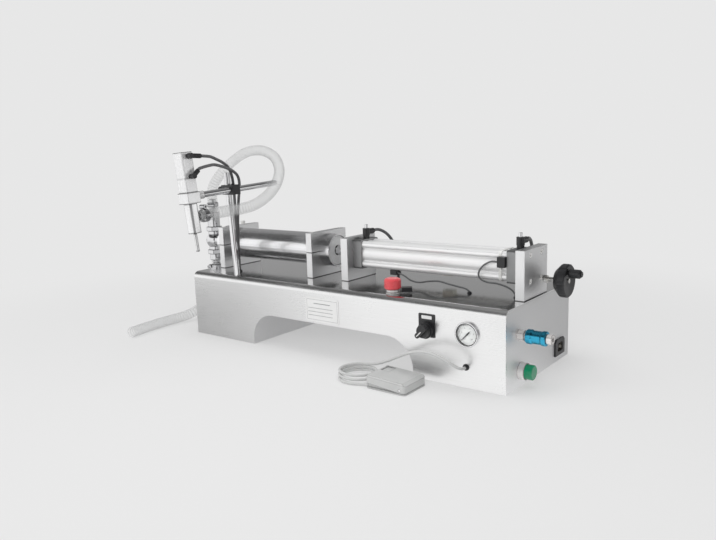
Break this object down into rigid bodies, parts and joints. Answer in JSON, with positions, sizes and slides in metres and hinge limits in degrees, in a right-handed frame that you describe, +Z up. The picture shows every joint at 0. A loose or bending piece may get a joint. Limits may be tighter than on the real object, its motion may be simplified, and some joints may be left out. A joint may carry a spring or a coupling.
{
  "type": "pneumatic paste filling machine",
  "caption": "Bench-top pneumatic piston filler: product and air cylinders on a long arched steel base, a filling nozzle on a leaning stand, clear hoses, a handwheel and a foot pedal.",
  "frame": {"origin": "on the floor, below the middle of the machine's box without its hoses and cables", "axes": "+X along the base towards the handwheel, +Y from the front to the back, +Z up"},
  "size_m": [0.9227, 0.3856, 0.405],
  "materials": {
    "satin_steel": "satin",
    "bright_steel": "polished",
    "aluminium": "satin",
    "cast_grey": "satin",
    "black_plastic": "satin",
    "grey_plastic": "satin",
    "red_plastic": "gloss",
    "green_plastic": "gloss",
    "blue_aluminium": "gloss",
    "black_rubber": "matte",
    "clear_hose": "gloss"
  },
  "bodies": {
    "machine": {"base_housing": "satin_steel", "left_end_panel": "satin_steel", "right_end_panel": "satin_steel", "belly_pan": "satin_steel", "clamp_bases": "bright_steel", "clamp_caps": "bright_steel", "fasteners": "bright_steel", "cylinder_tube": "bright_steel", "cylinder_head": "bright_steel", "valve_tee": "bright_steel", "inlet_check": "bright_steel", "outlet_check": "bright_steel", "hose_clamps": "bright_steel", "front_plate": "satin_steel", "rear_plate": "satin_steel", "air_barrel": "aluminium", "cylinder_caps": "cast_grey", "flow_controls": "black_plastic", "reed_switches": "black_plastic", "estop_body": "black_plastic", "selector_plate": "black_plastic", "selector_body": "black_plastic", "gauge_case": "black_plastic", "power_bezel": "bright_steel", "mains_inlet": "black_plastic", "air_coupler": "bright_steel", "cable_entries": "black_plastic", "stand_rod": "bright_steel", "pedal_base": "grey_plastic", "pedal_pin": "bright_steel", "product_hose": "clear_hose", "suction_hose": "clear_hose", "nozzle_tubes": "black_plastic", "cylinder_lines": "black_plastic", "pedal_cable": "grey_plastic", "pedal_coil": "grey_plastic"},
    "pistons": {"product_piston": "bright_steel", "piston_seals": "black_rubber", "piston_rod": "bright_steel", "air_piston": "aluminium"},
    "screw": {"lead_screw": "bright_steel", "handwheel": "black_plastic"},
    "grip": {"crank_grip": "black_plastic"},
    "carriage": {"sensor_carriage": "black_plastic"},
    "estop_head": {"estop_button": "red_plastic"},
    "power_cap": {"power_button": "green_plastic"},
    "selector_handle": {"selector_knob": "black_plastic"},
    "needle": {"gauge_needle": "black_plastic"},
    "treadle": {"pedal_treadle": "grey_plastic"},
    "nozzle": {"cross_clamp": "black_plastic", "arm_rod": "bright_steel", "nozzle_holder": "aluminium", "nozzle_actuator": "aluminium", "nozzle_fittings": "black_plastic", "nozzle_body": "bright_steel", "nozzle_clamp": "bright_steel"},
    "plunger": {"nozzle_plunger": "bright_steel"},
    "sleeve": {"coupler_sleeve": "blue_aluminium"},
    "front_knob": {"front_flow_knob": "bright_steel"},
    "rear_knob": {"rear_flow_knob": "bright_steel"}
  },
  "joints": [
    {"name": "piston_stroke", "type": "slide", "parent": "machine", "child": "pistons", "axis": [-1, 0, 0], "range_m": [0, 0.18]},
    {"name": "screw_turn", "type": "hinge", "parent": "machine", "child": "screw", "pos_m": [0.39876, 0.08584, 0.161], "axis": [1, 0, 0], "range_deg": [-5760, 5760]},
    {"name": "carriage_slide", "type": "slide", "parent": "machine", "child": "carriage", "axis": [1, 0, 0], "range_m": [-0.0805, 0.0805]},
    {"name": "grip_spin", "type": "hinge", "parent": "screw", "child": "grip", "pos_m": [0.42076, 0.08222, 0.17452], "axis": [1, 0, 0], "continuous": true},
    {"name": "estop_push", "type": "slide", "parent": "machine", "child": "estop_head", "axis": [0, 0, -1], "range_m": [0, 0.004]},
    {"name": "power_push", "type": "slide", "parent": "machine", "child": "power_cap", "axis": [-1, 0, 0], "range_m": [0, 0.004], "stiffness_N_per_m": 400},
    {"name": "selector_turn", "type": "hinge", "parent": "machine", "child": "selector_handle", "pos_m": [0.23626, -0.07716, 0.088], "axis": [0, 1, 0], "range_deg": [0, 90]},
    {"name": "needle_turn", "type": "hinge", "parent": "machine", "child": "needle", "pos_m": [0.31226, -0.06816, 0.0905], "axis": [0, 1, 0], "range_deg": [0, 270], "stiffness_Nm_per_rad": 0.0002},
    {"name": "treadle_press", "type": "hinge", "parent": "machine", "child": "treadle", "pos_m": [0.23676, -0.12516, 0.0073], "axis": [0, -1, 0], "range_deg": [0, 4], "stiffness_Nm_per_rad": 2, "springref_deg": -2.86},
    {"name": "nozzle_height", "type": "slide", "parent": "machine", "child": "nozzle", "axis": [0, -0.0523, 0.9986], "range_m": [-0.02, 0.02], "deforming": ["product_hose", "nozzle_tubes"]},
    {"name": "nozzle_open", "type": "slide", "parent": "nozzle", "child": "plunger", "axis": [-0.0698, -0.0522, 0.9962], "range_m": [0, 0.01]},
    {"name": "sleeve_pull", "type": "slide", "parent": "machine", "child": "sleeve", "axis": [-1, 0, 0], "range_m": [0, 0.003], "stiffness_N_per_m": 400},
    {"name": "front_knob_turn", "type": "hinge", "parent": "machine", "child": "front_knob", "pos_m": [0.02526, 0.04984, 0.236], "axis": [0, 0, 1], "range_deg": [-720, 720]},
    {"name": "rear_knob_turn", "type": "hinge", "parent": "machine", "child": "rear_knob", "pos_m": [0.34876, 0.04984, 0.236], "axis": [0, 0, 1], "range_deg": [-720, 720]}
  ],
  "couplings": [
    {"joint": "carriage_slide", "follows": "screw_turn", "m_per_rad": -0.00079577}
  ]
}
